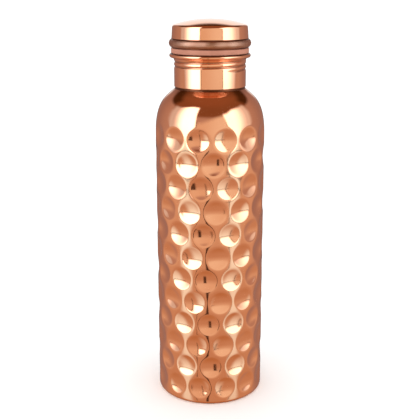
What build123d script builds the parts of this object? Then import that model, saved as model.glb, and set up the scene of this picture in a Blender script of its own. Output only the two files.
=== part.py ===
from build123d import *
import os
from math import asin, cos, degrees, pi, radians, sin, sqrt, tan

# A dimpled copper water bottle, standing upright on its foot.
# Millimetres, +Z up, origin at the centre of the foot on the surface it stands on.
# A drawn shell is closed below by a brazed base plate and above by a threaded collar.
# The screw cap is a hollow plug with a knurled ring and a pressed dome, sealed by a gasket.

# Body shell
body_radius = 36.5            # outside, over the ridges between the dimples
barrel_height = 183.0         # straight wall, from the foot to the start of the shoulder
shell_wall = 0.7              # copper sheet of the body
foot_corner_radius = 2.5      # outside round where the wall turns in under the bottle
foot_flange_width = 6.0       # flat ring turned in under the base plate
shoulder_height = 30.06       # from the top of the barrel to the root of the neck
shoulder_end_slope = 43.4     # degrees below level where the curve meets the neck's root
shoulder_barrel_pull = 22.5   # how far the curve keeps to the barrel's line
shoulder_neck_pull = 7.0      # how far it keeps to the slope at the neck
neck_root_radius = 1.5        # hollow round between shoulder and neck stub
neck_root_straight = 0.1      # straight slope between that round and the curve

# Dimples: staggered rows, each row turned a little against the one below
dimple_spacing = 17.6         # around the wall, fitted to a whole number
dimple_row_pitch = 15.6
top_row_overrun = 2.0         # how far past the barrel's top a row's middle may lie
lowest_row_height = 12.4      # centres of the lowest row above the foot
lowest_row_angle = 16.3       # degrees from the front, where the lowest row starts
row_drift = 1.3               # degrees that each higher row turns back
dimple_half_width = 7.5
dimple_depth = 1.5

# Neck collar, brazed over the shell's neck stub
collar_radius = 23.65         # outside
collar_wall = 0.8
collar_lap_wall = 0.5         # what is left of the wall where it laps the stub
collar_seat_gap = 1.44        # from the end of the shoulder's curve up to the collar's edge
collar_height = 21.6
collar_edge_radius = 0.3
lip_reach = 3.05              # how far the lip stands out from the collar
lip_bead_radius = 1.35
lip_hollow_radius = 1.6       # hollow round under the lip
lip_inner_radius = 0.35
braze_gap = 0.05              # between the collar and the stub

# Thread, rolled into the collar and onto the plug
thread_pitch = 3.0
thread_height = 0.9
thread_root_width = 1.6
thread_tip_width = 0.8
thread_clearance = 0.2        # radial, at root and crest
thread_overlap = 0.15         # how deep a ridge is rooted in its wall
neck_thread_turns = 1.9
neck_thread_drop = 4.5        # middle of its last turn below the lip's top
stub_thread_gap = 2.7         # from the neck stub's edge up to the thread
neck_thread_angle = 25.0      # degrees from the front, where the thread starts
plug_thread_turns = 1.6
groove_radius = 1.3           # the roller's mark around the outside of the collar
groove_depth = 0.5

# Gasket between lip and cap
gasket_thickness = 2.8
gasket_reach = 1.85           # how far it stands out from the collar's outside
gasket_stem_gap = 0.3         # around the plug's stem
gasket_face_gap = 0.15        # under and over the gasket
gasket_edge_radius = 0.4

# Cap
flange_reach = 1.65           # how far the plug's flange stands out from the collar
flange_thickness = 0.9
plug_wall = 0.8
plug_end_gap = 0.7            # from the neck stub's edge up to the plug's end disc
plug_disc_thickness = 0.8
plug_disc_edge_radius = 0.3
ring_height = 5.2
ring_end_reach = 1.85         # how far the ring's ends stand out from the collar
ring_middle_reach = 3.3       # how far its middle does, over the knurl
ring_bore_gap = 0.75          # from the stem out to the ring's bore
spigot_height = 1.5           # rim on the ring that the dome sits around
spigot_gap = 0.3
dome_skirt_reach = 1.55       # how far the dome's open end stands out from the collar
dome_skirt_taper = 0.6        # how much narrower its skirt is where it meets the crown
dome_height = 12.7
crown_rise = 3.96             # the crown's middle above that edge
dome_corner_radius = 2.0
dome_wall = 0.7

# Base plate, brazed inside on the foot's flange
base_plate_thickness = 0.8
base_panel_rise = 2.5         # the pressed panel in the middle
base_panel_slope_width = 4.0
base_panel_margin = 2.0       # flat rim that shows inside the foot's opening
base_panel_bend_radius = 2.0
base_plate_edge_gap = 0.1

# Heights that follow from the sizes
shoulder_end_z = barrel_height + shoulder_height
collar_bottom_z = shoulder_end_z + collar_seat_gap
lip_top_z = collar_bottom_z + collar_height
neck_thread_z = lip_top_z - neck_thread_drop - neck_thread_turns * thread_pitch
stub_top_z = neck_thread_z - thread_root_width / 2 - stub_thread_gap
plug_bottom_z = stub_top_z + plug_end_gap + plug_disc_thickness
gasket_bottom_z = lip_top_z + gasket_face_gap
flange_bottom_z = gasket_bottom_z + gasket_thickness + gasket_face_gap
flange_top_z = flange_bottom_z + flange_thickness
ring_top_z = flange_top_z + ring_height

# Radii that follow from the sizes
collar_bore = collar_radius - collar_wall
lap_bore = collar_radius - collar_lap_wall
stub_radius = lap_bore - braze_gap
stub_bore = stub_radius - shell_wall
plug_thread_radius = collar_bore - thread_clearance
stem_radius = collar_bore - thread_height - thread_clearance
stem_bore = stem_radius - plug_wall
ring_bore = stem_radius + ring_bore_gap
dome_skirt_radius = collar_radius + dome_skirt_reach
dome_edge_radius = dome_skirt_radius - dome_skirt_taper
spigot_radius = dome_skirt_radius - dome_wall - spigot_gap
foot_flat_radius = body_radius - foot_corner_radius
foot_opening_radius = foot_flat_radius - foot_flange_width
base_panel_radius = foot_opening_radius - base_panel_margin - base_panel_slope_width

# Counts that follow from the sizes
dimples_per_row = round(2 * pi * body_radius / dimple_spacing)
dimple_rows = 1 + int(
    (barrel_height + top_row_overrun - lowest_row_height) / dimple_row_pitch
)

front = -90.0                 # degrees, the side that faces -Y
cut_margin = 1.0              # how far a cutting body runs past the face it cuts
cutter_swing_share = 1.7      # width of a dimple's cutter over the width of its dimple


def dimple_cutter(inset):
    """Barrel-shaped lens that presses one dimple, round on the curved wall.

    It lies on +X at height zero. The inset moves its face inward by the wall
    thickness, so that the dimples show inside the bottle as bosses.
    """
    floor_radius = body_radius - dimple_depth
    half_angle = dimple_half_width / body_radius
    edge_x = body_radius * cos(half_angle)
    level_radius = (2 * floor_radius * edge_x - body_radius**2 - floor_radius**2) / (
        2 * (floor_radius - edge_x)
    )
    upright_radius = (dimple_half_width**2 + dimple_depth**2) / (2 * dimple_depth)
    centre_x = floor_radius + level_radius
    face_x = floor_radius - inset
    face_radius = upright_radius + inset
    back_depth = inset + dimple_depth + cut_margin
    half_height = sqrt(face_radius**2 - (face_radius - back_depth) ** 2)
    back_x = face_x + back_depth
    swing = degrees(cutter_swing_share * 2 * asin(dimple_half_width / level_radius))
    turning_axis = Axis((centre_x, 0, 0), (0, 0, 1))
    with BuildPart() as cutter:
        with BuildSketch(Plane.XZ):
            with BuildLine():
                ThreePointArc((back_x, -half_height), (face_x, 0), (back_x, half_height))
                Line((back_x, half_height), (back_x, -half_height))
            make_face()
        revolve(axis=turning_axis, revolution_arc=swing)
    return cutter.part.rotate(turning_axis, -swing / 2)


def dimple_places():
    """Where each dimple lies, row by row from the foot up."""
    spacing = 360 / dimples_per_row
    places = []
    for row in range(dimple_rows):
        height = lowest_row_height + row * dimple_row_pitch
        stagger = spacing / 2 if row % 2 else 0
        row_angle = front + lowest_row_angle - row_drift * row + stagger
        for step in range(dimples_per_row):
            places.append(Location((0, 0, height), (0, 0, row_angle + step * spacing)))
    return places


def body_of_revolution(inset, top_z):
    """The bottle's outside, moved inward by the inset, as a solid up to top_z."""
    slope = radians(shoulder_end_slope)
    root_run = neck_root_radius * tan((pi / 2 - slope) / 2) + neck_root_straight
    wall_radius = body_radius - inset
    neck_radius = stub_radius - inset
    end_r = stub_radius + root_run * cos(slope) - inset * sin(slope)
    end_z = shoulder_end_z - inset * cos(slope)
    root_z = end_z + (end_r - neck_radius) * tan(slope)
    pull_r = end_r + shoulder_neck_pull * cos(slope)
    pull_z = end_z - shoulder_neck_pull * sin(slope)
    with BuildPart() as solid:
        with BuildSketch(Plane.XZ) as section:
            with BuildLine():
                Polyline((end_r, end_z), (neck_radius, root_z), (neck_radius, top_z))
                Polyline((neck_radius, top_z), (0, top_z), (0, inset), (wall_radius, inset))
                Line((wall_radius, inset), (wall_radius, barrel_height))
                Bezier(
                    (wall_radius, barrel_height),
                    (wall_radius, barrel_height + shoulder_barrel_pull),
                    (pull_r, pull_z),
                    (end_r, end_z),
                )
            make_face()
            foot_corner = section.vertices().sort_by_distance((wall_radius, inset))[0]
            fillet(foot_corner, foot_corner_radius - inset)
            neck_root = section.vertices().sort_by_distance((neck_radius, root_z))[0]
            fillet(neck_root, neck_root_radius + inset)
        revolve(axis=Axis.Z)
    return solid.part


def helical_ridge(root_radius, tip_radius, start_z, turns):
    """A thread's ridge, standing from root_radius to tip_radius, starting at +X."""
    half_root = thread_root_width / 2
    half_tip = thread_tip_width / 2
    reach = tip_radius - root_radius
    rooted = -thread_overlap if reach > 0 else thread_overlap
    half_foot = half_root + (half_root - half_tip) * thread_overlap / thread_height
    with BuildPart() as ridge:
        with BuildLine() as course:
            Helix(thread_pitch, thread_pitch * turns, root_radius, center=(0, 0, start_z))
        course_start = Plane(course.line @ 0, x_dir=(1, 0, 0), z_dir=course.line % 0)
        with BuildSketch(course_start):
            with BuildLine():
                Polyline(
                    (rooted, -half_foot),
                    (reach, -half_tip),
                    (reach, half_tip),
                    (rooted, half_foot),
                    close=True,
                )
            make_face()
        sweep(path=course.line, is_frenet=True)
    return ridge.part


def dome_solid(inset):
    """The dome's outside, moved inward by the inset, open end down."""
    crown_radius = (dome_edge_radius**2 + crown_rise**2) / (2 * crown_rise) - inset
    crown_centre_z = ring_top_z + dome_height - inset - crown_radius
    skirt_r = dome_skirt_radius - inset
    edge_r = dome_edge_radius - inset
    edge_z = crown_centre_z + sqrt(crown_radius**2 - edge_r**2)
    half_r = edge_r / 2
    half_z = crown_centre_z + sqrt(crown_radius**2 - half_r**2)
    top_z = crown_centre_z + crown_radius
    with BuildPart() as solid:
        with BuildSketch(Plane.XZ) as section:
            with BuildLine():
                Polyline((0, top_z), (0, ring_top_z), (skirt_r, ring_top_z), (edge_r, edge_z))
                ThreePointArc((edge_r, edge_z), (half_r, half_z), (0, top_z))
            make_face()
            corner = section.vertices().sort_by_distance((edge_r, edge_z))[0]
            fillet(corner, dome_corner_radius - inset)
        revolve(axis=Axis.Z)
    return solid.part


os.makedirs("parts", exist_ok=True)

# Body shell: the drawn copper wall with its shoulder, neck stub and foot flange
outside_dimple = dimple_cutter(0)
inside_dimple = dimple_cutter(shell_wall)

with BuildPart() as shell_void:
    add(body_of_revolution(shell_wall, stub_top_z + cut_margin))
    with Locations(dimple_places()):
        add(inside_dimple, mode=Mode.SUBTRACT)

with BuildPart() as body_shell:
    add(body_of_revolution(0, stub_top_z))
    with Locations(dimple_places()):
        add(outside_dimple, mode=Mode.SUBTRACT)
    add(shell_void.part, mode=Mode.SUBTRACT)
    with BuildSketch(Plane.XY.offset(-cut_margin)):
        Circle(foot_opening_radius)
    extrude(amount=shell_wall + 2 * cut_margin, mode=Mode.SUBTRACT)

# Base plate: a pressed disc, brazed inside on the foot's flange
with BuildPart() as base_plate:
    low_z = shell_wall
    high_z = low_z + base_panel_rise
    plate_radius = foot_flat_radius - base_plate_edge_gap
    slope_end = base_panel_radius + base_panel_slope_width
    with BuildSketch(Plane.XZ) as plate_section:
        with BuildLine():
            Polyline(
                (0, high_z),
                (base_panel_radius, high_z),
                (slope_end, low_z),
                (plate_radius, low_z),
                (plate_radius, low_z + base_plate_thickness),
                (slope_end, low_z + base_plate_thickness),
                (base_panel_radius, high_z + base_plate_thickness),
                (0, high_z + base_plate_thickness),
                close=True,
            )
        make_face()
        bends = plate_section.vertices().filter_by_position(
            Axis.X, base_panel_radius, slope_end
        )
        fillet(bends, base_panel_bend_radius)
    revolve(axis=Axis.Z)

# The roller's mark that the collar's thread leaves around its outside
with BuildPart() as rolling_groove:
    groove_course_radius = collar_radius - groove_depth + groove_radius
    with BuildLine() as groove_course:
        Helix(
            thread_pitch,
            thread_pitch * neck_thread_turns,
            groove_course_radius,
            center=(0, 0, neck_thread_z),
        )
    groove_start = Plane(
        groove_course.line @ 0, x_dir=(1, 0, 0), z_dir=groove_course.line % 0
    )
    with BuildSketch(groove_start):
        Circle(groove_radius)
    sweep(path=groove_course.line, is_frenet=True)

# The mating ridges: the collar's inside thread and the plug's outside one, half a pitch up
thread_turn = (0, 0, front + neck_thread_angle)
inside_thread = helical_ridge(
    collar_bore, collar_bore - thread_height, neck_thread_z, neck_thread_turns
)
outside_thread = helical_ridge(
    stem_radius, plug_thread_radius, neck_thread_z + thread_pitch / 2, plug_thread_turns
)

# Neck collar: lapped over the stub, with the rolled lip and the inside thread
with BuildPart() as neck_collar:
    bead_centre_r = collar_radius + lip_reach - lip_bead_radius
    bead_centre_z = lip_top_z - lip_bead_radius
    lip_under_z = lip_top_z - 2 * lip_bead_radius
    with BuildSketch(Plane.XZ) as collar_section:
        with BuildLine():
            Line((collar_bore, lip_top_z), (bead_centre_r, lip_top_z))
            ThreePointArc(
                (bead_centre_r, lip_top_z),
                (bead_centre_r + lip_bead_radius, bead_centre_z),
                (bead_centre_r, lip_under_z),
            )
            Polyline(
                (bead_centre_r, lip_under_z),
                (collar_radius, lip_under_z),
                (collar_radius, collar_bottom_z),
                (lap_bore, collar_bottom_z),
                (lap_bore, stub_top_z),
                (collar_bore, stub_top_z),
                (collar_bore, lip_top_z),
            )
        make_face()
        corners = collar_section.vertices()
        fillet(corners.sort_by_distance((collar_radius, lip_under_z))[0], lip_hollow_radius)
        corners = collar_section.vertices()
        fillet(corners.sort_by_distance((collar_radius, collar_bottom_z))[0], collar_edge_radius)
        corners = collar_section.vertices()
        fillet(corners.sort_by_distance((collar_bore, lip_top_z))[0], lip_inner_radius)
    revolve(axis=Axis.Z)
    add(rolling_groove.part, rotation=thread_turn, mode=Mode.SUBTRACT)
    add(inside_thread, rotation=thread_turn)


# Gasket: a flat silicone ring between the lip and the plug's flange
with BuildPart() as gasket:
    with BuildSketch(Plane.XY.offset(gasket_bottom_z)):
        Circle(collar_radius + gasket_reach)
        Circle(stem_radius + gasket_stem_gap, mode=Mode.SUBTRACT)
    extrude(amount=gasket_thickness)
    outer_face = gasket.faces().filter_by(GeomType.CYLINDER).sort_by(SortBy.AREA)[-1]
    fillet(outer_face.edges().filter_by(GeomType.CIRCLE), gasket_edge_radius)

# Cap plug: a hollow stem with a flange at its top and the outside thread
with BuildPart() as cap_plug:
    with BuildSketch(Plane.XY.offset(plug_bottom_z)):
        Circle(stem_radius)
    extrude(amount=flange_top_z - plug_bottom_z)
    with BuildSketch(Plane.XY.offset(flange_bottom_z)):
        Circle(collar_radius + flange_reach)
    extrude(amount=flange_thickness)
    add(outside_thread, rotation=thread_turn)
    with BuildSketch(Plane.XY.offset(plug_bottom_z)):
        Circle(stem_bore)
    extrude(amount=flange_top_z - plug_bottom_z, mode=Mode.SUBTRACT)

# Plug end disc: closes the stem's lower end
with BuildPart() as plug_end_disc:
    with BuildSketch(Plane.XY.offset(plug_bottom_z - plug_disc_thickness)):
        Circle(stem_radius)
    extrude(amount=plug_disc_thickness)
    fillet(plug_end_disc.edges().sort_by(Axis.Z)[0], plug_disc_edge_radius)

# Grip ring: the knurled ring between the plug's flange and the dome
with BuildPart() as cap_grip_ring:
    ring_end_r = collar_radius + ring_end_reach
    ring_middle_r = collar_radius + ring_middle_reach
    with BuildSketch(Plane.XZ):
        with BuildLine():
            ThreePointArc(
                (ring_end_r, flange_top_z),
                (ring_middle_r, flange_top_z + ring_height / 2),
                (ring_end_r, ring_top_z),
            )
            Polyline(
                (ring_end_r, ring_top_z),
                (spigot_radius, ring_top_z),
                (spigot_radius, ring_top_z + spigot_height),
                (ring_bore, ring_top_z + spigot_height),
                (ring_bore, flange_top_z),
                (ring_end_r, flange_top_z),
            )
        make_face()
    revolve(axis=Axis.Z)

# Cap dome: the pressed top of the cap
with BuildPart() as cap_dome:
    add(dome_solid(0))
    add(dome_solid(dome_wall), mode=Mode.SUBTRACT)

sub_parts = {
    "body_shell": body_shell,
    "base_plate": base_plate,
    "neck_collar": neck_collar,
    "gasket": gasket,
    "cap_plug": cap_plug,
    "plug_end_disc": plug_end_disc,
    "cap_grip_ring": cap_grip_ring,
    "cap_dome": cap_dome,
}
for label, builder in sub_parts.items():
    builder.part.label = label
    export_step(builder.part, f"parts/{label}.step")
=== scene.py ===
from math import atan2, cos, degrees, pi, radians, sin, sqrt, tan

import bpy
import numpy as np
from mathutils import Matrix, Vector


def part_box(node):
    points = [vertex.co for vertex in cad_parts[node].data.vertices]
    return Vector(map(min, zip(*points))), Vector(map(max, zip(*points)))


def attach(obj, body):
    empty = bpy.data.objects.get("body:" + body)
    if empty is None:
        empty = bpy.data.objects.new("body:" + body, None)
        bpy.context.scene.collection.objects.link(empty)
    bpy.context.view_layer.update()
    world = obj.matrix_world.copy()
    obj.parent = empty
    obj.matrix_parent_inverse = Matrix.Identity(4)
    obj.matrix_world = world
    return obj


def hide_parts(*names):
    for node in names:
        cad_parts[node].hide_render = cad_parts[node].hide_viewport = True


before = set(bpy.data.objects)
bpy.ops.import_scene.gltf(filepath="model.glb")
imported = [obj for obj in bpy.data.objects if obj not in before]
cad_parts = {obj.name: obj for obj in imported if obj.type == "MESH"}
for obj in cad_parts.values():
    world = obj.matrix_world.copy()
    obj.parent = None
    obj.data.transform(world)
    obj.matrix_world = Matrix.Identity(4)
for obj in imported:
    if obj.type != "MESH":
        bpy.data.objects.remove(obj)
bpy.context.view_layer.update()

# A dimpled copper water bottle with a knurled screw cap, on a pale studio floor.
# Metres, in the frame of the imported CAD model: +Z up, front towards -Y.

mm = 0.001

# ---------------------------------------------------------------- places from the CAD model
shell_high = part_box("body_shell")[1]
collar_low, collar_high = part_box("neck_collar")
gasket_low, gasket_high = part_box("gasket")
ring_low, ring_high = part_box("cap_grip_ring")
dome_low, dome_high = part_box("cap_dome")
plug_low, plug_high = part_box("cap_plug")

body_radius = shell_high.x
stub_top_z = shell_high.z
collar_bottom_z = collar_low.z
lip_top_z = collar_high.z
lip_radius = collar_high.x
ring_radius = ring_high.x
ring_bottom_z = ring_low.z
dome_bottom_z = dome_low.z
dome_top_z = dome_high.z
dome_skirt_radius = dome_high.x

# ---------------------------------------------------------------- sizes of the sheet metal
shell_wall = 0.7 * mm
barrel_height = 183.0 * mm
shoulder_end_z = 213.06 * mm
shoulder_end_radius = 23.64 * mm
shoulder_end_slope = radians(43.4)
shoulder_barrel_pull = 22.5 * mm
shoulder_neck_pull = 7.0 * mm
stub_radius = 23.1 * mm
neck_root_radius = 1.5 * mm
shoulder_painted_shade = 0.35            # painted shade: how much darker the shoulder is drawn at the neck
shoulder_shade_depth = 4.0 * mm
foot_corner_radius = 2.5 * mm
foot_opening_radius = 28.0 * mm

dimple_rows = 12
dimples_per_row = 13
dimple_row_pitch = 15.6 * mm
lowest_row_height = 12.4 * mm
lowest_row_angle = radians(16.3)
row_drift = radians(1.3)
dimple_half_width = 7.5 * mm
dimple_depth = 1.5 * mm
top_dimple_depth = 1.75 * mm     # the highest rows are pressed deeper
deep_dimple_rows = 2
dimple_rim_softness = 0.1
columns_per_dimple = 19

collar_radius = 23.65 * mm
collar_wall = 0.8 * mm
collar_edge_round = 0.3 * mm
lap_bore = 23.15 * mm
lap_gap = 0.1 * mm             # left free above the neck stub's edge
lip_bead_radius = 1.35 * mm
lip_hollow_radius = 1.6 * mm
groove_depth = 0.5 * mm
groove_half_width = 0.85 * mm
groove_run_out = 0.25          # turns that the outside mark runs on past the thread
groove_drop = 0.25 * mm        # how far the mark lies below the thread
groove_softness = 0.1
# painted shade in the thread's mark and inside the neck
groove_painted_shade = 0.6
neck_inside_painted_shade = 0.3
thread_pitch = 3.0 * mm
thread_turns = 1.9
thread_drop = 4.5 * mm         # middle of the thread's last turn below the lip's top
thread_start_angle = radians(25.0)
thread_fade_turns = 0.08       # over which each end of the thread comes up
thread_height = 0.9 * mm
thread_root_width = 1.6 * mm
thread_tip_width = 0.8 * mm
thread_clearance = 0.2 * mm
plug_wall = 0.8 * mm
flange_radius = 24.7 * mm
gasket_face_gap = 0.1 * mm
bore_round = 0.35 * mm

gasket_round = 0.4 * mm
gasket_bore = 22.05 * mm
gasket_swell = 0.5 * mm         # the squeezed silicone, up against a thin flange

ring_end_radius = 25.5 * mm
ring_end_step = 0.3 * mm       # from the knurled outside in to the ring's flat ends
ring_bore = 22.5 * mm
spigot_radius = 24.2 * mm
spigot_height = 1.5 * mm
knurl_count = 130
knurl_rows = 10
knurl_depth = 0.1 * mm
# painted shade in the knurl's grooves
knurl_painted_shade = 0.8

dome_edge_radius = 24.6 * mm
crown_rise = 3.96 * mm
dome_corner_radius = 2.0 * mm
dome_wall = 0.7 * mm
dome_hem_round = 0.25 * mm

front = -pi / 2                 # the side that faces -Y
corner_sharpness = radians(50)  # edges that fold by more than this stay crisp


# ---------------------------------------------------------------- outlines and lathe meshes
def arc(centre_r, centre_z, radius, start, end, steps):
    """Points of a round stretch, angles in degrees from outward, upward positive."""
    angles = np.radians(np.linspace(start, end, steps + 1))
    return [(centre_r + radius * cos(a), centre_z + radius * sin(a)) for a in angles]


def stretch(start, end, steps):
    """Points of a straight stretch without its last one."""
    t = np.arange(steps) / steps
    return [tuple(np.array(start) * (1 - u) + np.array(end) * u) for u in t]


def bezier(points, steps):
    """Points of a cubic curve."""
    a, b, c, d = (np.array(p) for p in points)
    t = np.linspace(0, 1, steps + 1)[:, None]
    curve = (1 - t) ** 3 * a + 3 * (1 - t) ** 2 * t * b + 3 * (1 - t) * t**2 * c + t**3 * d
    return [tuple(p) for p in curve]


def drop_doubles(points):
    """The same points without neighbours that coincide."""
    kept = [points[0]]
    for point in points[1:]:
        if np.hypot(point[0] - kept[-1][0], point[1] - kept[-1][1]) > 0.002 * mm:
            kept.append(point)
    return np.array(kept)


def around(columns):
    """The angles of a grid's columns."""
    return 2 * pi * np.arange(columns) / columns


def lathe_points(outline, columns):
    """Grid of points: the outline, as rows, turned around the axis, as columns."""
    angles = around(columns)
    r, z = outline[:, 0][:, None], outline[:, 1][:, None]
    return np.stack([r * np.cos(angles), r * np.sin(angles), z + 0 * angles], axis=-1)


def push_out(grid, amount):
    """Moves each point of the grid away from the axis."""
    radial = np.hypot(grid[..., 0], grid[..., 1])
    moved = grid.copy()
    moved[..., :2] *= ((radial + amount) / radial)[..., None]
    return moved


def add_object(name, data):
    """A new object in the scene."""
    added = bpy.data.objects.new(name, data)
    bpy.context.scene.collection.objects.link(added)
    return added


def grid_piece(name, grid, material, closed=False, poles=(False, False)):
    """A smooth mesh over a grid that closes around the axis.

    A closed grid also joins its last row to its first. A pole closes an open end
    with a point on the axis.
    """
    rows, columns = grid.shape[:2]
    points = [tuple(p) for p in grid.reshape(-1, 3)]
    faces = []
    for row in range(rows if closed else rows - 1):
        here, there = row * columns, (row + 1) % rows * columns
        for column in range(columns):
            beside = (column + 1) % columns
            faces.append((here + column, there + column, there + beside, here + beside))
    for pole, row in zip(poles, (0, rows - 1)):
        if pole:
            points.append((0.0, 0.0, float(grid[row, :, 2].mean())))
            for column in range(columns):
                beside = (column + 1) % columns
                rim = (row * columns + column, row * columns + beside)
                faces.append((len(points) - 1, *(rim[::-1] if row == 0 else rim)))
    mesh = bpy.data.meshes.new(name)
    mesh.from_pydata(points, [], faces)
    mesh.polygons.foreach_set("use_smooth", [True] * len(mesh.polygons))
    mesh.update()
    mesh.materials.append(material)
    return add_object(name, mesh)


def set_sharp(piece, angle=corner_sharpness):
    """Keeps the edges that fold by more than the angle crisp."""
    piece.data.set_sharp_from_angle(angle=angle)


def paint_seams_and_shade(piece, values):
    """Where the piece is darkened, from 0 to 1 at each of its points: dark joints at seams, and
    painted shade.
    """
    values = np.asarray(values, dtype=float).reshape(-1)
    missing = len(piece.data.vertices) - len(values)
    hollow = piece.data.attributes.new("hollow", "FLOAT", "POINT")
    hollow.data.foreach_set("value", np.concatenate([values, np.zeros(missing)]))


def eased(share):
    """0 to 1 with a level start and end."""
    share = np.clip(share, 0, 1)
    return share * share * (3 - 2 * share)


def fall(values, full, none):
    """1 up to full, falling smoothly to 0 at none; none may be the lower of the two."""
    return eased((values - none) / (full - none))


def soft_bowl(distance, softness):
    """1 in the middle of a hollow and 0 from a distance of 1 on, with a softened rim."""
    bowl = 1 - distance**2
    return 0.5 * (bowl + np.sqrt(bowl**2 + softness**2))


# ---------------------------------------------------------------- node graphs
class Graph:
    """Short calls for building one node tree."""

    def __init__(self, tree):
        self.tree = tree
        tree.nodes.clear()

    def node(self, kind, **settings):
        node = self.tree.nodes.new(kind)
        for key, value in settings.items():
            setattr(node, key, value)
        return node

    def put(self, socket, value):
        if isinstance(value, bpy.types.NodeSocket):
            self.tree.links.new(value, socket)
        elif isinstance(value, tuple) and len(value) == 3 and socket.type == "RGBA":
            socket.default_value = (*value, 1.0)
        else:
            socket.default_value = value

    def math(self, operation, *values):
        node = self.node("ShaderNodeMath", operation=operation)
        for socket, value in zip(node.inputs, values):
            self.put(socket, value)
        return node.outputs[0]

    def ramp(self, value, low, high, to_low=0.0, to_high=1.0, smooth=True):
        kind = "SMOOTHSTEP" if smooth else "LINEAR"
        node = self.node("ShaderNodeMapRange", interpolation_type=kind)
        settings = (value, low, high, to_low, to_high)
        for name, setting in zip(("Value", "From Min", "From Max", "To Min", "To Max"), settings):
            self.put(node.inputs[name], setting)
        return node.outputs["Result"]

    def mix(self, factor, first, second):
        node = self.node("ShaderNodeMix", data_type="RGBA")
        self.put(node.inputs[0], factor)
        self.put(node.inputs[6], first)
        self.put(node.inputs[7], second)
        return node.outputs[2]

    def noise(self, vector, scale, detail=2.0, roughness=0.5, distortion=0.0):
        node = self.node("ShaderNodeTexNoise")
        self.put(node.inputs["Vector"], vector)
        node.inputs["Scale"].default_value = scale
        node.inputs["Detail"].default_value = detail
        node.inputs["Roughness"].default_value = roughness
        node.inputs["Distortion"].default_value = distortion
        return node.outputs["Fac"]

    def scaled(self, vector, scale):
        node = self.node("ShaderNodeVectorMath", operation="MULTIPLY")
        self.put(node.inputs[0], vector)
        node.inputs[1].default_value = scale
        return node.outputs[0]

    def bump(self, shader, height, strength, distance):
        node = self.node("ShaderNodeBump")
        node.inputs["Strength"].default_value = strength
        node.inputs["Distance"].default_value = distance
        self.put(node.inputs["Height"], height)
        self.put(shader.inputs["Normal"], node.outputs[0])

    def finish(self, shader, kind="ShaderNodeOutputMaterial"):
        self.put(self.node(kind).inputs["Surface"], shader.outputs[0])


def new_material(name):
    """A material and its empty node graph."""
    material = bpy.data.materials.new(name)
    material.use_nodes = True
    return material, Graph(material.node_tree)


# ---------------------------------------------------------------- studio
# The room that the polished metal mirrors, drawn from the inside on the world.
# Angles are in degrees: azimuth from the front, positive to the right, and elevation.
softbox_azimuth = 53.0          # about the middle of each softbox, left and right
ceiling_low = (0.25, 0.10, 0.042)
ceiling_high = (0.30, 0.115, 0.048)
stand_dark = (0.05, 0.022, 0.012)
room_light = (1.2, 1.2, 1.2)    # what everything but the mirrored room gets


def studio_gate(g, value, low, high, low_soft, high_soft):
    """1 between low and high, fading over the soft width at each end."""
    rise = g.ramp(value, graph_sum(g, low, -low_soft), graph_sum(g, low, low_soft))
    drop = g.ramp(value, graph_sum(g, high, -high_soft), graph_sum(g, high, high_soft))
    return g.math("MULTIPLY", rise, g.math("SUBTRACT", 1.0, drop))


def graph_sum(g, value, number):
    """A number plus a number, or a socket plus a number."""
    if isinstance(value, bpy.types.NodeSocket):
        return g.math("ADD", value, number)
    return value + number


def draw_walls(g, ceiling, azimuth, elevation):
    """Walls at the sides and behind, a dark gap above them, then the ceiling."""
    side = g.math("ABSOLUTE", azimuth)
    wall = g.mix(g.ramp(side, 95, 150), (0.53, 0.36, 0.29), (0.37, 0.23, 0.19))
    back_wall = g.mix(g.ramp(elevation, 0.5, 4), (0.13, 0.06, 0.05), (1.10, 1.12, 1.12))
    room = g.mix(g.ramp(side, 158, 168), wall, back_wall)
    gap = g.mix(g.ramp(side, 95, 120), ceiling_low, (0.075, 0.028, 0.008))
    over_wall = g.math("SUBTRACT", elevation, g.ramp(side, 95, 170, 34.0, 30.0))
    room = g.mix(g.ramp(over_wall, -4, 4), room, gap)
    return g.mix(g.ramp(over_wall, 12, 24), room, ceiling)


def draw_front(g, room, ceiling, azimuth, elevation):
    """The ceiling comes lower in front, and a panel stands below it, darker to the left."""
    ceiling_share = g.math("MULTIPLY", studio_gate(g, azimuth, -100, 100, 8, 8),
                           g.ramp(elevation, 20, 30))
    room = g.mix(ceiling_share, room, ceiling)
    panel = g.mix(g.ramp(azimuth, -25, 32), (0.84, 0.64, 0.46), (0.96, 0.85, 0.67))
    panel_top = g.ramp(azimuth, -30, 32, 12.0, 27.0)
    over_panel = g.ramp(g.math("SUBTRACT", elevation, panel_top), -6, 6)
    panel_share = g.math("MULTIPLY", g.math("SUBTRACT", 1.0, over_panel),
                         studio_gate(g, azimuth, -32, 50, 4, 6))
    return g.mix(panel_share, room, panel)


def draw_table(g, room, azimuth, elevation, spread):
    """The table top below, with the light of the two softboxes on it."""
    table = g.mix(g.ramp(elevation, -10, -28), (0.76, 0.56, 0.40), (0.62, 0.385, 0.245))
    table = g.mix(g.ramp(elevation, -28, -62), table, (0.53, 0.27, 0.125))
    beside = g.math("SUBTRACT", 1.0, g.ramp(g.math("ABSOLUTE", azimuth), 98, 125))
    room = g.mix(g.math("MULTIPLY", g.ramp(elevation, -3, -15), beside), room, table)
    glow_share = g.math("SUBTRACT", 1.0, g.ramp(spread, 4, 18))
    glow_end = g.ramp(azimuth, -20, 20, -62, -54)
    glow_share = g.math("MULTIPLY", glow_share, g.ramp(elevation, glow_end, -14, smooth=False))
    below_table = g.math("SUBTRACT", 1.0, g.ramp(elevation, -9, -4))
    glow_share = g.math("MULTIPLY", glow_share, below_table)
    return g.mix(glow_share, room, (1.08, 1.32, 1.30))


def draw_softbox(g, room, tint, brightness, sides, heights):
    """One softbox, where the shares of its sides and heights meet."""
    light = g.node("ShaderNodeVectorMath", operation="SCALE")
    light.inputs[0].default_value = tint
    g.put(light.inputs["Scale"], brightness)
    return g.mix(g.math("MULTIPLY", heights, sides), room, light.outputs[0])


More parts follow.
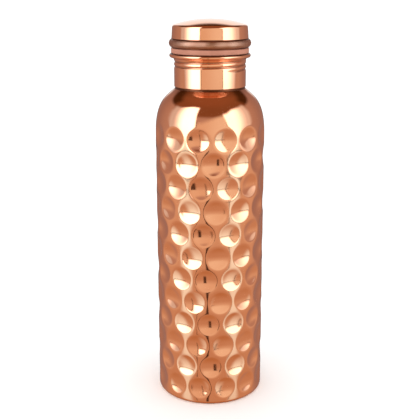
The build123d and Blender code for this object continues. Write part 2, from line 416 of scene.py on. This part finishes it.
def draw_left_softbox(g, room, azimuth, elevation):
    """Crisp at its inner and lower edges, fading outwards."""
    top = g.ramp(azimuth, -95, -45, 37.0, 52.0)
    bottom = g.ramp(azimuth, -108, -80, 8.0, -9.0)
    brightness = g.ramp(azimuth, -86, -56, 0.75, 3.2)
    sides = studio_gate(g, azimuth, -98, -31, 8, 2.5)
    heights = studio_gate(g, elevation, bottom, top, 2.5, 4)
    return draw_softbox(g, room, (1.0, 0.98, 0.96), brightness, sides, heights)


def draw_right_softbox(g, room, azimuth, elevation, inner_edge):
    """Slanted and soft at its inner edge."""
    top = g.ramp(azimuth, 35, 62, 31.0, 40.0)
    bottom = g.ramp(azimuth, 80, 104, -8.5, 3.0)
    brightness = g.ramp(azimuth, 52, 90, 2.9, 0.9)
    sides = studio_gate(g, azimuth, inner_edge, 98, 3, 7)
    heights = studio_gate(g, elevation, bottom, top, 3, 5)
    return draw_softbox(g, room, (1.0, 0.97, 0.93), brightness, sides, heights)


def draw_stands(g, room, azimuth, elevation, spread, inner_edge):
    """Dark stands: a wide one in front, and thin ones beside and below the softboxes."""
    below_boxes = g.math("SUBTRACT", 1.0, g.ramp(elevation, -11, -8.5))
    reach = g.math("MULTIPLY", below_boxes, g.ramp(elevation, -42, -34))
    wide = g.math("MULTIPLY", studio_gate(g, azimuth, -8.5, -3, 1.0, 1.0), reach)
    left = g.math("MULTIPLY", studio_gate(g, azimuth, -29.6, -28.0, 0.5, 0.5),
                  studio_gate(g, elevation, -34, 18, 3, 3))
    from_edge = g.math("SUBTRACT", azimuth, inner_edge)
    right = g.math("MULTIPLY", studio_gate(g, from_edge, -2.4, -0.8, 0.6, 0.6),
                   studio_gate(g, elevation, -34, 12, 3, 5))
    under = g.math("MULTIPLY", studio_gate(g, elevation, -13.5, -12.0, 0.6, 0.6),
                   studio_gate(g, spread, -20, 19, 1, 2))
    for share, strength in ((wide, 0.95), (left, 0.85), (right, 0.75), (under, 0.7)):
        room = g.mix(g.math("MULTIPLY", share, strength), room, stand_dark)
    return room


def build_studio():
    """The mirrored room, and an even light for everything that doesn't mirror."""
    world = bpy.data.worlds.new("studio")
    bpy.context.scene.world = world
    world.use_nodes = True
    world.cycles.sampling_method = "NONE"
    g = Graph(world.node_tree)
    parts = g.node("ShaderNodeSeparateXYZ")
    g.put(parts.inputs[0], g.node("ShaderNodeTexCoord").outputs["Generated"])
    x, y, z = parts.outputs
    to_degrees = degrees(1.0)
    from_front = g.math("ARCTAN2", x, g.math("MULTIPLY", y, -1.0))
    azimuth = g.math("MULTIPLY", from_front, to_degrees)
    elevation = g.math("MULTIPLY", g.math("ARCSINE", z), to_degrees)
    off_softbox = g.math("ADD", g.math("ABSOLUTE", azimuth), -softbox_azimuth)
    spread = g.math("ABSOLUTE", off_softbox)
    inner_edge = g.ramp(elevation, -8, 28, 43.0, 31.0, smooth=False)
    ceiling = g.mix(g.ramp(elevation, 45, 75), ceiling_low, ceiling_high)

    room = draw_walls(g, ceiling, azimuth, elevation)
    room = draw_front(g, room, ceiling, azimuth, elevation)
    room = draw_table(g, room, azimuth, elevation, spread)
    room = draw_left_softbox(g, room, azimuth, elevation)
    room = draw_right_softbox(g, room, azimuth, elevation, inner_edge)
    room = draw_stands(g, room, azimuth, elevation, spread, inner_edge)

    mirrored = g.node("ShaderNodeLightPath").outputs["Is Glossy Ray"]
    background = g.node("ShaderNodeBackground")
    g.put(background.inputs["Color"], g.mix(mirrored, room_light, room))
    g.finish(background, "ShaderNodeOutputWorld")


def build_floor():
    """A wide pale floor that the metal doesn't mirror, since the studio has its own table top."""
    reach = 40.0                # metres, so that its edge is never seen
    mesh = bpy.data.meshes.new("floor")
    corners = [(-reach, -reach, 0), (reach, -reach, 0), (reach, reach, 0), (-reach, reach, 0)]
    mesh.from_pydata(corners, [], [(0, 1, 2, 3)])
    floor = add_object("floor", mesh)
    floor.visible_glossy = False
    material, g = new_material("pale_floor")
    shader = g.node("ShaderNodeBsdfDiffuse")
    shader.inputs["Color"].default_value = (0.99, 0.99, 0.985, 1)
    g.finish(shader)
    mesh.materials.append(material)


def build_camera():
    """The view from the front, looking a little down."""
    look_down = 15.45           # degrees
    camera = bpy.data.cameras.new("camera")
    camera.sensor_width = 36.0
    camera.lens = 69.55
    holder = add_object("camera", camera)
    holder.location = (0.0, -0.540, 0.2785)
    holder.rotation_euler = (radians(90 - look_down), 0.0, 0.0)
    bpy.context.scene.camera = holder


# ---------------------------------------------------------------- materials
# one dark colour for dark joints at seams and for painted shade in grooves, under and between parts
# and inside
tarnish_and_shade_colour = (0.085, 0.022, 0.008)
tarnish_and_shade_strength = 0.95             # how far the colour goes to the dark colour: a dark joint at a seam, painted shade elsewhere
darkened_roughness = 0.25


def copper(name, colour, deep_colour, roughness, brushing, scratches):
    """Polished copper: slow tint changes, fine turning marks around the axis and hair scratches."""
    material, g = new_material(name)
    place = g.node("ShaderNodeTexCoord").outputs["Object"]
    shader = g.node("ShaderNodeBsdfPrincipled")
    shader.inputs["Metallic"].default_value = 1.0

    patches = g.noise(place, 38.0, detail=4.0, roughness=0.6)
    specks = g.noise(place, 900.0, detail=2.0)
    tint = g.mix(g.ramp(patches, 0.35, 0.75), colour, deep_colour)
    speck_colour = tuple(0.8 * c for c in deep_colour)
    tint = g.mix(g.ramp(specks, 0.66, 0.80, 0.0, 0.35), tint, speck_colour)
    # the hollow attribute darkens the colour: dark joints at seams, and painted shade in the
    # thread's mark, on the knurl, on the ring's ends, on the plug's flange and below the neck
    hollow = g.node("ShaderNodeAttribute", attribute_name="hollow").outputs["Fac"]
    browned = g.math("MULTIPLY", hollow, tarnish_and_shade_strength)
    g.put(shader.inputs["Base Color"], g.mix(browned, tint, tarnish_and_shade_colour))

    turning = g.noise(g.scaled(place, (12.0, 12.0, 4200.0)), 1.0, detail=3.0, roughness=0.7)
    hairs = g.noise(g.scaled(place, (2600.0, 2600.0, 70.0)), 1.0, detail=2.0, distortion=1.5)
    smudge = g.noise(place, 70.0, detail=5.0, roughness=0.65)
    rough = g.ramp(smudge, 0.3, 0.75, roughness * 0.7, roughness * 1.5)
    rough = g.math("ADD", rough, g.ramp(hairs, 0.62, 0.75, 0.0, scratches * 0.35))
    rough = g.math("ADD", rough, g.math("MULTIPLY", browned, darkened_roughness))
    g.put(shader.inputs["Roughness"], rough)

    height = g.math("MULTIPLY", turning, brushing)
    height = g.math("ADD", height, g.math("MULTIPLY", hairs, scratches))
    g.bump(shader, height, strength=0.35, distance=0.02 * mm)
    g.finish(shader)
    return material


def silicone(name):
    """Matte copper-pink silicone with a fine moulded grain and a little dust."""
    material, g = new_material(name)
    place = g.node("ShaderNodeTexCoord").outputs["Object"]
    shader = g.node("ShaderNodeBsdfPrincipled")
    clouds = g.noise(place, 120.0, detail=4.0)
    dust = g.noise(place, 2500.0, detail=2.0)
    tint = g.mix(g.ramp(clouds, 0.3, 0.7), (0.56, 0.235, 0.155), (0.48, 0.19, 0.12))
    tint = g.mix(g.ramp(dust, 0.68, 0.80, 0.0, 0.4), tint, (0.70, 0.42, 0.34))
    g.put(shader.inputs["Base Color"], tint)
    g.put(shader.inputs["Roughness"], g.ramp(clouds, 0.3, 0.7, 0.42, 0.58))
    g.bump(shader, dust, strength=0.3, distance=0.03 * mm)
    g.finish(shader)
    return material


body_copper = copper("body_copper", (0.93, 0.50, 0.33), (0.90, 0.46, 0.29),
                     roughness=0.06, brushing=0.5, scratches=0.5)
cap_copper = copper("cap_copper", (0.93, 0.50, 0.33), (0.91, 0.47, 0.30),
                    roughness=0.06, brushing=0.7, scratches=0.4)
knurl_copper = copper("knurl_copper", (0.95, 0.62, 0.49), (0.80, 0.42, 0.30),
                      roughness=0.10, brushing=0.2, scratches=0.6)
pink_silicone = silicone("pink_silicone")


# ---------------------------------------------------------------- body shell
def shell_outline(inset, steps):
    """Neck stub, shoulder, wall and foot, moved inward by the inset, from the top down.

    steps are the counts along the stub, the neck's root, the shoulder, the wall and
    the foot's corner.
    """
    slope = shoulder_end_slope
    neck = stub_radius - inset
    wall = body_radius - inset
    end_r = shoulder_end_radius - inset * sin(slope)
    end_z = shoulder_end_z - inset * cos(slope)
    root_z = end_z + (end_r - neck) * tan(slope)
    root_radius = neck_root_radius + inset
    run = root_radius * tan((pi / 2 - slope) / 2)
    centre_r, centre_z = neck + root_radius, root_z + run
    pull = (end_r + shoulder_neck_pull * cos(slope), end_z - shoulder_neck_pull * sin(slope))
    corner = foot_corner_radius - inset
    outline = stretch((neck, stub_top_z), (neck, centre_z), steps[0])
    outline += arc(centre_r, centre_z, root_radius, 180, 270 - degrees(slope), steps[1])
    outline += bezier(
        [(end_r, end_z), pull, (wall, barrel_height + shoulder_barrel_pull), (wall, barrel_height)],
        steps[2],
    )
    outline += stretch((wall, barrel_height), (wall, foot_corner_radius), steps[3])
    outline += arc(body_radius - foot_corner_radius, foot_corner_radius, corner, 0, -90, steps[4])
    return drop_doubles(outline)


def press_dimples(outline, grid):
    """Pushes the grid inward where the dimples are, along the outline's own normals."""
    rim_end = 1.9                # in half widths, where the softened rim is cut off
    along = np.gradient(outline, axis=0)
    along /= np.linalg.norm(along, axis=1)[:, None]
    normal_r, normal_z = -along[:, 1], along[:, 0]
    steps = np.hypot(*np.diff(outline, axis=0).T)
    travelled = np.concatenate([[0], np.cumsum(steps)])
    barrel_start = np.interp(-barrel_height, -outline[:, 1], travelled)
    height = barrel_height + barrel_start - travelled
    angles = np.arctan2(grid[0, :, 1], grid[0, :, 0])
    depth = np.zeros(grid.shape[:2])
    spacing = 2 * pi / dimples_per_row
    for row in range(dimple_rows):
        row_height = lowest_row_height + row * dimple_row_pitch
        near = np.abs(height - row_height) < 2 * dimple_half_width
        stagger = spacing / 2 if row % 2 else 0.0
        first = front + lowest_row_angle - row_drift * row + stagger
        off_centre = (angles - first + spacing / 2) % spacing - spacing / 2
        across = body_radius * off_centre[None, :]
        up = (height[near] - row_height)[:, None]
        distance = np.sqrt(across**2 + up**2) / dimple_half_width
        share = soft_bowl(distance, dimple_rim_softness) / soft_bowl(0.0, dimple_rim_softness)
        deep = row >= dimple_rows - deep_dimple_rows
        row_depth = top_dimple_depth if deep else dimple_depth
        depth[near] += np.where(distance < rim_end, share, 0) * row_depth
    pressed = push_out(grid, -depth * normal_r[:, None])
    pressed[..., 2] -= depth * normal_z[:, None]
    return pressed


def build_body():
    """The dimpled shell, its wall's two faces joined by the foot's flange and the neck's edge."""
    columns = dimples_per_row * columns_per_dimple
    outside = shell_outline(0.0, steps=(4, 5, 40, 205, 6))
    inside = shell_outline(shell_wall, steps=(3, 4, 24, 104, 3))
    outer = press_dimples(outside, lathe_points(outside, columns))
    inner = press_dimples(inside, lathe_points(inside, columns))[::-1]
    flange = drop_doubles(
        stretch((body_radius - foot_corner_radius, 0.0), (foot_opening_radius, 0.0), 2)
        + [(foot_opening_radius, 0.0), (foot_opening_radius, shell_wall)]
    )[1:]
    grid = np.concatenate([outer, lathe_points(flange, columns), inner])
    body = grid_piece("bottle_body", grid, body_copper, closed=True)
    heights = np.zeros(grid.shape[:2])
    heights[: len(outside)] = outside[:, 1][:, None]
    # a dark joint where the collar sits, and painted shade on the shoulder below the neck's root
    seam = fall(heights, shoulder_end_z + 0.4 * mm, shoulder_end_z - 0.2 * mm)
    shade = fall(heights, shoulder_end_z, shoulder_end_z - shoulder_shade_depth)
    paint_seams_and_shade(body, np.maximum(seam, shoulder_painted_shade * shade))
    set_sharp(body)
    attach(body, "bottle")
    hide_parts("body_shell")


def helix_offset(angles, heights, turns):
    """How far each point lies above the thread's nearest turn, and the thread's fade there."""
    start_z = lip_top_z - thread_drop - thread_turns * thread_pitch
    turned = ((angles - front - thread_start_angle) % (2 * pi))[None, :] / (2 * pi)
    turn = (heights[:, None] - start_z) / thread_pitch
    nearest = np.clip(np.round(turn - turned), 0, None)
    nearest = np.where(nearest + turned > turns, np.floor(turns - turned), nearest)
    along = nearest + turned
    offset = (turn - along) * thread_pitch
    fade = eased(np.minimum(along, turns - along) / thread_fade_turns)
    return offset, np.where(along >= 0, fade, 0)


def thread_ridge(angles, heights):
    """How far the thread stands out of its wall at each point."""
    offset, fade = helix_offset(angles, heights, thread_turns)
    half_root, half_tip = thread_root_width / 2, thread_tip_width / 2
    share = np.clip((half_root - np.abs(offset)) / (half_root - half_tip), 0, 1)
    return thread_height * share * fade


def thread_mark(angles, heights):
    """How deep the rolled thread's mark is, from 0 to 1, on the outside of the collar."""
    turns = thread_turns + groove_run_out
    offset, fade = helix_offset(angles, heights + groove_drop, turns)
    distance = np.abs(offset) / groove_half_width
    rim_end = 1.8                # in half widths, where the softened rim is cut off
    return np.where(distance < rim_end, soft_bowl(distance, groove_softness), 0) * fade


def build_collar():
    """The neck: a plain band, the rolled thread and the lip."""
    columns = 288
    bead_z = lip_top_z - lip_bead_radius
    bead_r = lip_radius - lip_bead_radius
    hollow_r = collar_radius + lip_hollow_radius
    rise = sqrt((lip_hollow_radius + lip_bead_radius) ** 2 - (bead_r - hollow_r) ** 2)
    hollow_z = bead_z - rise
    meet = degrees(atan2(rise, bead_r - hollow_r))
    edge = collar_edge_round
    outside = arc(collar_radius - edge, collar_bottom_z + edge, edge, -90, 0, 4)
    outside += stretch((collar_radius, collar_bottom_z + 2 * edge), (collar_radius, hollow_z), 150)
    outside += arc(hollow_r, hollow_z, lip_hollow_radius, 180, meet, 12)
    outside = drop_doubles(outside)
    bead = arc(bead_r, bead_z, lip_bead_radius, meet - 180, 90, 24)[1:]
    bore = collar_radius - collar_wall
    bead += arc(bore + bore_round, lip_top_z - bore_round, bore_round, 90, 180, 4)
    lap_top_z = stub_top_z + lap_gap
    bore_top_z, bore_bottom_z = lip_top_z - 0.6 * mm, lap_top_z + 0.3 * mm
    inside = stretch((bore, bore_top_z), (bore, bore_bottom_z), 70)
    inside += [(bore, lap_top_z), (lap_bore, lap_top_z), (lap_bore, collar_bottom_z)]
    inside = np.array(inside)
    angles = around(columns)
    mark = thread_mark(angles, outside[:, 1])
    grid = np.concatenate([
        push_out(lathe_points(outside, columns), -groove_depth * mark),
        lathe_points(np.array(bead), columns),
        push_out(lathe_points(inside, columns), -thread_ridge(angles, inside[:, 1])),
    ])
    collar = grid_piece("neck", grid[::-1], body_copper, closed=True)

    # brown in the seam below as a dark joint; painted shade in the thread's mark, where the gasket
    # seats, and inside
    bead_rows_below_seat = 17
    bead_start, inside_start = len(outside), len(outside) + len(bead)
    seat_start = bead_start + bead_rows_below_seat
    seam = fall(outside[:, 1], collar_bottom_z + 0.15 * mm, collar_bottom_z + 0.45 * mm)
    dark = np.zeros(grid.shape[:2])
    dark[:bead_start] = seam[:, None] + groove_painted_shade * mark**2
    dark[seat_start:inside_start] = 1
    dark[inside_start:] = neck_inside_painted_shade
    paint_seams_and_shade(collar, np.clip(dark, 0, 1)[::-1])
    set_sharp(collar)
    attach(collar, "bottle")
    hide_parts("neck_collar")


def build_gasket():
    """The silicone ring between the lip and the plug's flange."""
    columns = 256
    low, high, edge = gasket_low.z, gasket_high.z + gasket_swell, gasket_round
    outline = arc(gasket_high.x - edge, low + edge, edge, -90, 0, 5)
    outline += arc(gasket_high.x - edge, high - edge, edge, 0, 90, 5)
    outline += [(gasket_bore, high), (gasket_bore, low)]
    grid = lathe_points(drop_doubles(outline), columns)
    gasket = grid_piece("seal_ring", grid[::-1], pink_silicone, closed=True)
    set_sharp(gasket)
    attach(gasket, "seal")
    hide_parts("gasket")


def build_ring():
    """The grip ring, with a diamond knurl cut into its round outside."""
    columns = 2 * knurl_count
    half_height = (ring_high.z - spigot_height - ring_bottom_z) / 2
    swell = ring_radius - ring_end_radius
    round_radius = (half_height**2 + swell**2) / (2 * swell)
    half_angle = degrees(np.arcsin(half_height / round_radius))
    middle_z = ring_bottom_z + half_height
    knurled = arc(ring_radius - round_radius, middle_z, round_radius, -half_angle, half_angle,
                  knurl_rows)
    top_z = ring_bottom_z + 2 * half_height
    flat_radius = ring_end_radius - ring_end_step
    rest = [(flat_radius, top_z), (spigot_radius, top_z),
            (spigot_radius, top_z + spigot_height), (ring_bore, top_z + spigot_height),
            (ring_bore, ring_bottom_z), (flat_radius, ring_bottom_z)]
    outline = np.array(knurled + rest)

    # every second point lies low, except in the first and last row of the knurled face
    rows, last_knurled = len(outline), len(knurled) - 1
    row, column = np.indices((rows, columns))
    cut = (row > 0) & (row < last_knurled)
    low = cut & ((row + column) % 2 == 0)
    grid = push_out(lathe_points(outline, columns), -knurl_depth * low)
    points = [tuple(p) for p in grid.reshape(-1, 3)]
    faces = []
    for i in range(rows):
        here, there = i * columns, (i + 1) % rows * columns
        for j in range(columns):
            beside = (j + 1) % columns
            a, b, c, d = here + j, here + beside, there + beside, there + j
            if i >= last_knurled:
                faces.append((a, b, c, d))
            elif (i + j) % 2 == 0:
                faces += [(a, b, c), (a, c, d)]
            else:
                faces += [(a, b, d), (b, c, d)]
    mesh = bpy.data.meshes.new("grip_ring")
    mesh.from_pydata(points, [], faces)
    mesh.update()
    mesh.materials.append(knurl_copper)
    ring = add_object("grip_ring", mesh)
    # painted shade: the knurl's low points drawn darker, the ring's ends, spigot and bore fully
    # dark
    paint_seams_and_shade(ring, np.where(cut, knurl_painted_shade * low, 1))
    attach(ring, "cap")
    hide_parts("cap_grip_ring")


def dome_outline(inset):
    """The dome from its open end up to just beside the axis, moved inward by the inset."""
    edge_z = dome_top_z - crown_rise
    crown_radius = (dome_edge_radius**2 + crown_rise**2) / (2 * crown_rise)
    crown_z = dome_top_z - crown_radius
    lean = atan2(dome_skirt_radius - dome_edge_radius, edge_z - dome_bottom_z)
    corner = dome_corner_radius - inset
    # the corner's centre keeps its distance from the skirt's line and from the crown,
    # found by stepping between the two
    reach = crown_radius - dome_corner_radius
    centre_r = dome_edge_radius - dome_corner_radius
    for _ in range(20):
        centre_z = crown_z + sqrt(reach**2 - centre_r**2)
        skirt_r = dome_skirt_radius - (centre_z - dome_bottom_z) * tan(lean)
        centre_r = skirt_r - dome_corner_radius / cos(lean)
    crown_angle = degrees(atan2(centre_z - crown_z, centre_r))
    foot_r = dome_skirt_radius - inset / cos(lean)
    corner_foot = (centre_r + corner * cos(lean), centre_z + corner * sin(lean))
    hem = dome_hem_round if inset == 0 else 0.0
    hem_top = (foot_r - hem * tan(lean), dome_bottom_z + hem)
    outline = arc(hem_top[0] - hem, hem_top[1], hem, -90, degrees(lean), 4)
    outline += stretch(hem_top, corner_foot, 24)[1:]
    outline += arc(centre_r, centre_z, corner, degrees(lean), crown_angle, 14)
    outline += arc(0, crown_z, crown_radius - inset, crown_angle, 89.5, 30)
    return drop_doubles(outline)


def build_plug():
    """The hollow plug with its thread, under a thin flange that the squeezed gasket meets."""
    columns = 240
    stem = collar_radius - collar_wall - thread_height - thread_clearance
    bore = stem - plug_wall
    flange_bottom_z = gasket_high.z + gasket_swell + gasket_face_gap
    outside = [(bore, plug_low.z), (stem, plug_low.z)]
    outside += stretch((stem, plug_low.z + 0.1 * mm), (stem, flange_bottom_z), 90)
    outside += [(stem, flange_bottom_z), (flange_radius, flange_bottom_z),
                (flange_radius, plug_high.z), (stem, plug_high.z), (bore, plug_high.z)]
    outline = np.array(outside)
    ridge = thread_ridge(around(columns), outline[:, 1] - thread_pitch / 2)
    ridge[(outline[:, 0] != stem) | (outline[:, 1] > gasket_low.z)] = 0
    grid = push_out(lathe_points(outline, columns), ridge)
    plug = grid_piece("plug", grid[::-1], cap_copper, closed=True)
    # painted shade: the flange is drawn fully dark
    flange = outline[:, 1] >= flange_bottom_z
    paint_seams_and_shade(plug, np.repeat(flange[::-1], columns))
    set_sharp(plug, radians(40))
    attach(plug, "cap")
    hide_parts("cap_plug")


def build_dome():
    """The pressed dome of the cap, its inside and outside joined at the hem."""
    columns = 288
    outer, inner = dome_outline(0.0), dome_outline(dome_wall)
    outline = np.concatenate([inner[::-1], outer])
    dome = grid_piece("dome", lathe_points(outline, columns)[::-1], cap_copper,
                      poles=(True, True))
    low_rows = fall(outline[:, 1], dome_bottom_z + 0.25 * mm, dome_bottom_z + 0.5 * mm)
    paint_seams_and_shade(dome, np.repeat(low_rows[::-1], columns))
    set_sharp(dome, radians(60))
    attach(dome, "cap")
    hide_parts("cap_dome")


def finish_cad_node(node, material):
    """Gives its material to a CAD node that is shown as it is."""
    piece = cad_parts[node]
    piece.data.materials.clear()
    piece.data.materials.append(material)


build_camera()
build_studio()
build_floor()
build_body()
build_collar()
build_gasket()
build_ring()
build_dome()
build_plug()
finish_cad_node("base_plate", body_copper)
finish_cad_node("plug_end_disc", cap_copper)
bpy.context.scene.view_settings.view_transform = "Standard"
